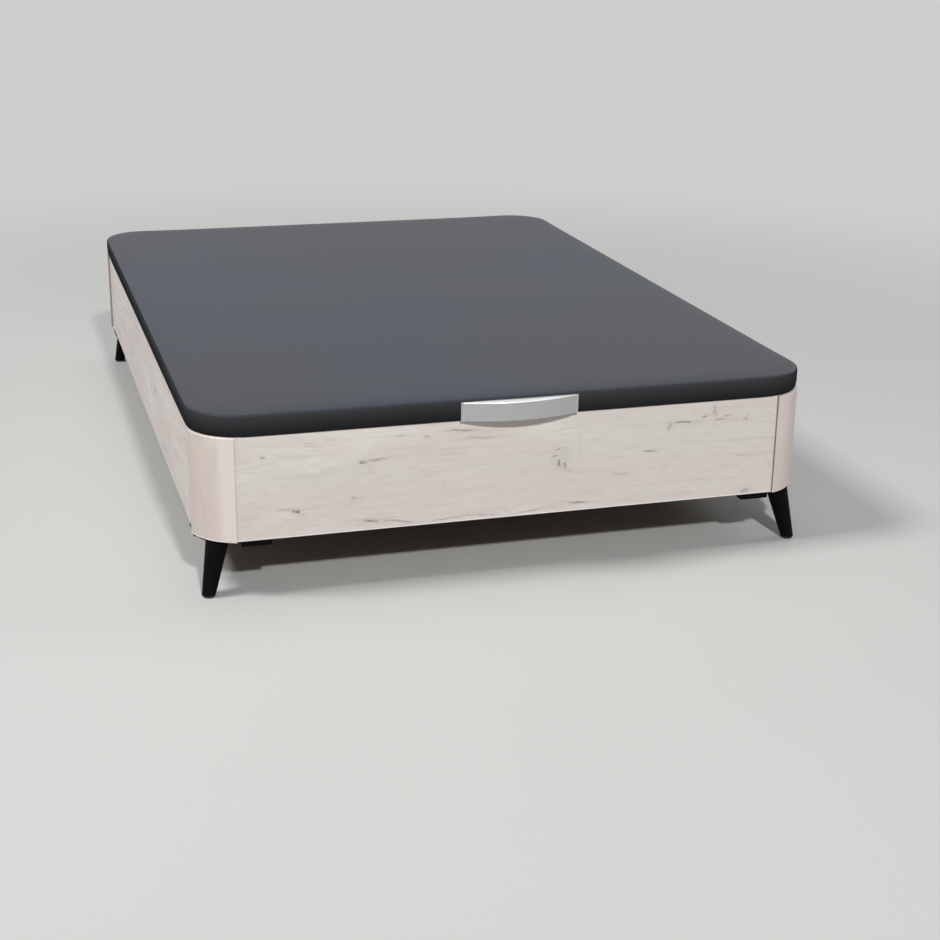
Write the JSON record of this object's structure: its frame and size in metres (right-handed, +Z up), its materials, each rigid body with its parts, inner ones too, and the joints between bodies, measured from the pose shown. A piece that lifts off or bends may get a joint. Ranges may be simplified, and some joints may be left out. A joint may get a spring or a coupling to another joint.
{
  "type": "storage bed base",
  "caption": "Box bed base with rounded corners on splayed legs; an upholstered lid lifts on a sprung four-bar linkage to open the storage well.",
  "frame": {"origin": "on the floor, at the centre of the box's plan", "axes": "+Z up, +Y along the bed towards the head end, +X to the right of a person at the foot end"},
  "size_m": [1.35, 1.9253, 0.39],
  "materials": {
    "oak_panel": "matt oak-look melamine",
    "oak_post": "matt oak-look foil",
    "bracket_steel": "zinc grey",
    "zinc_fixing": "zinc plated",
    "leg_black": "black powder coat",
    "glide_plastic": "moulded",
    "cleat_wood": "planed pine",
    "floor_melamine": "matt melamine",
    "joint_plastic": "extruded",
    "frame_steel": "dark grey epoxy",
    "lift_steel": "grey epoxy",
    "strut_black": "gloss black",
    "strut_chrome": "polished",
    "lid_fibreboard": "hardboard",
    "pad_foam": "polyurethane foam",
    "lid_fabric": "smooth dark grey cover",
    "handle_aluminium": "satin silver"
  },
  "bodies": {
    "base": {"foot_panel": "oak_panel", "head_panel": "oak_panel", "side_panel_left": "oak_panel", "side_panel_right": "oak_panel", "corner_post_foot_left": "oak_post", "corner_post_foot_right": "oak_post", "corner_post_head_right": "oak_post", "corner_post_head_left": "oak_post", "corner_bracket_foot_left": "bracket_steel", "corner_bracket_foot_right": "bracket_steel", "corner_bracket_head_right": "bracket_steel", "corner_bracket_head_left": "bracket_steel", "corner_bracket_screws": "zinc_fixing", "leg_foot_left": "leg_black", "leg_foot_right": "leg_black", "leg_head_right": "leg_black", "leg_head_left": "leg_black", "leg_plate_foot_left": "leg_black", "leg_plate_foot_right": "leg_black", "leg_plate_head_right": "leg_black", "leg_plate_head_left": "leg_black", "leg_nuts": "zinc_fixing", "leg_glides": "glide_plastic", "leg_plate_screws": "zinc_fixing", "floor_cleats_end": "cleat_wood", "floor_cleats_side": "cleat_wood", "floor_board_foot": "floor_melamine", "floor_board_head": "floor_melamine", "floor_joint_strip": "joint_plastic", "floor_crossbar": "frame_steel", "crossbar_hangers": "bracket_steel", "crossbar_hanger_screws": "zinc_fixing", "lift_plate_left": "lift_steel", "lift_plate_right": "lift_steel", "lift_plate_screws": "zinc_fixing", "base_pivot_pins": "zinc_fixing"},
    "long_arms": {"long_arm_left": "lift_steel", "long_arm_right": "lift_steel"},
    "short_arms": {"short_arm_left": "lift_steel", "short_arm_right": "lift_steel", "strut_arm_studs": "zinc_fixing"},
    "strut_cylinders": {"strut_cylinder_left": "strut_black", "strut_cylinder_right": "strut_black"},
    "strut_rods": {"strut_rod_left": "strut_chrome", "strut_rod_right": "strut_chrome"},
    "lid": {"lid_side_tube_left": "frame_steel", "lid_side_tube_right": "frame_steel", "lid_foot_tube": "frame_steel", "lid_head_tube": "frame_steel", "lid_cross_tubes": "frame_steel", "lid_board": "lid_fibreboard", "lid_foam": "pad_foam", "lid_cover": "lid_fabric", "lid_bracket_left": "lift_steel", "lid_bracket_right": "lift_steel", "lid_pivot_pins": "zinc_fixing", "lid_bracket_bolts": "zinc_fixing", "pull_handle": "handle_aluminium", "handle_screws": "zinc_fixing"}
  },
  "joints": [
    {"name": "long_arm_swing", "type": "hinge", "parent": "base", "child": "long_arms", "pos_m": [0, 0.364, 0.204], "axis": [1, 0, 0], "range_deg": [0, 38.5]},
    {"name": "lid_lift", "type": "hinge", "parent": "long_arms", "child": "lid", "pos_m": [0, 0.77, 0.262], "axis": [-1, 0, 0], "range_deg": [0, 83.48]},
    {"name": "short_arm_swing", "type": "hinge", "parent": "base", "child": "short_arms", "pos_m": [0, 0.585, 0.313], "axis": [1, 0, 0], "range_deg": [0, 56.82]},
    {"name": "strut_cylinder_tilt", "type": "hinge", "parent": "base", "child": "strut_cylinders", "pos_m": [0, 0.48452, 0.1695], "axis": [1, 0, 0], "range_deg": [0, 28.42]},
    {"name": "strut_rod_tilt", "type": "hinge", "parent": "short_arms", "child": "strut_rods", "pos_m": [0, 0.68548, 0.1695], "axis": [-1, 0, 0], "range_deg": [0, 28.42]}
  ],
  "couplings": [
    {"joint": "long_arm_swing", "follows": "lid_lift", "ratio": 0.46096},
    {"joint": "short_arm_swing", "follows": "lid_lift", "ratio": 0.68038},
    {"joint": "strut_cylinder_tilt", "follows": "lid_lift", "ratio": 0.34019},
    {"joint": "strut_rod_tilt", "follows": "lid_lift", "ratio": 0.34019}
  ]
}
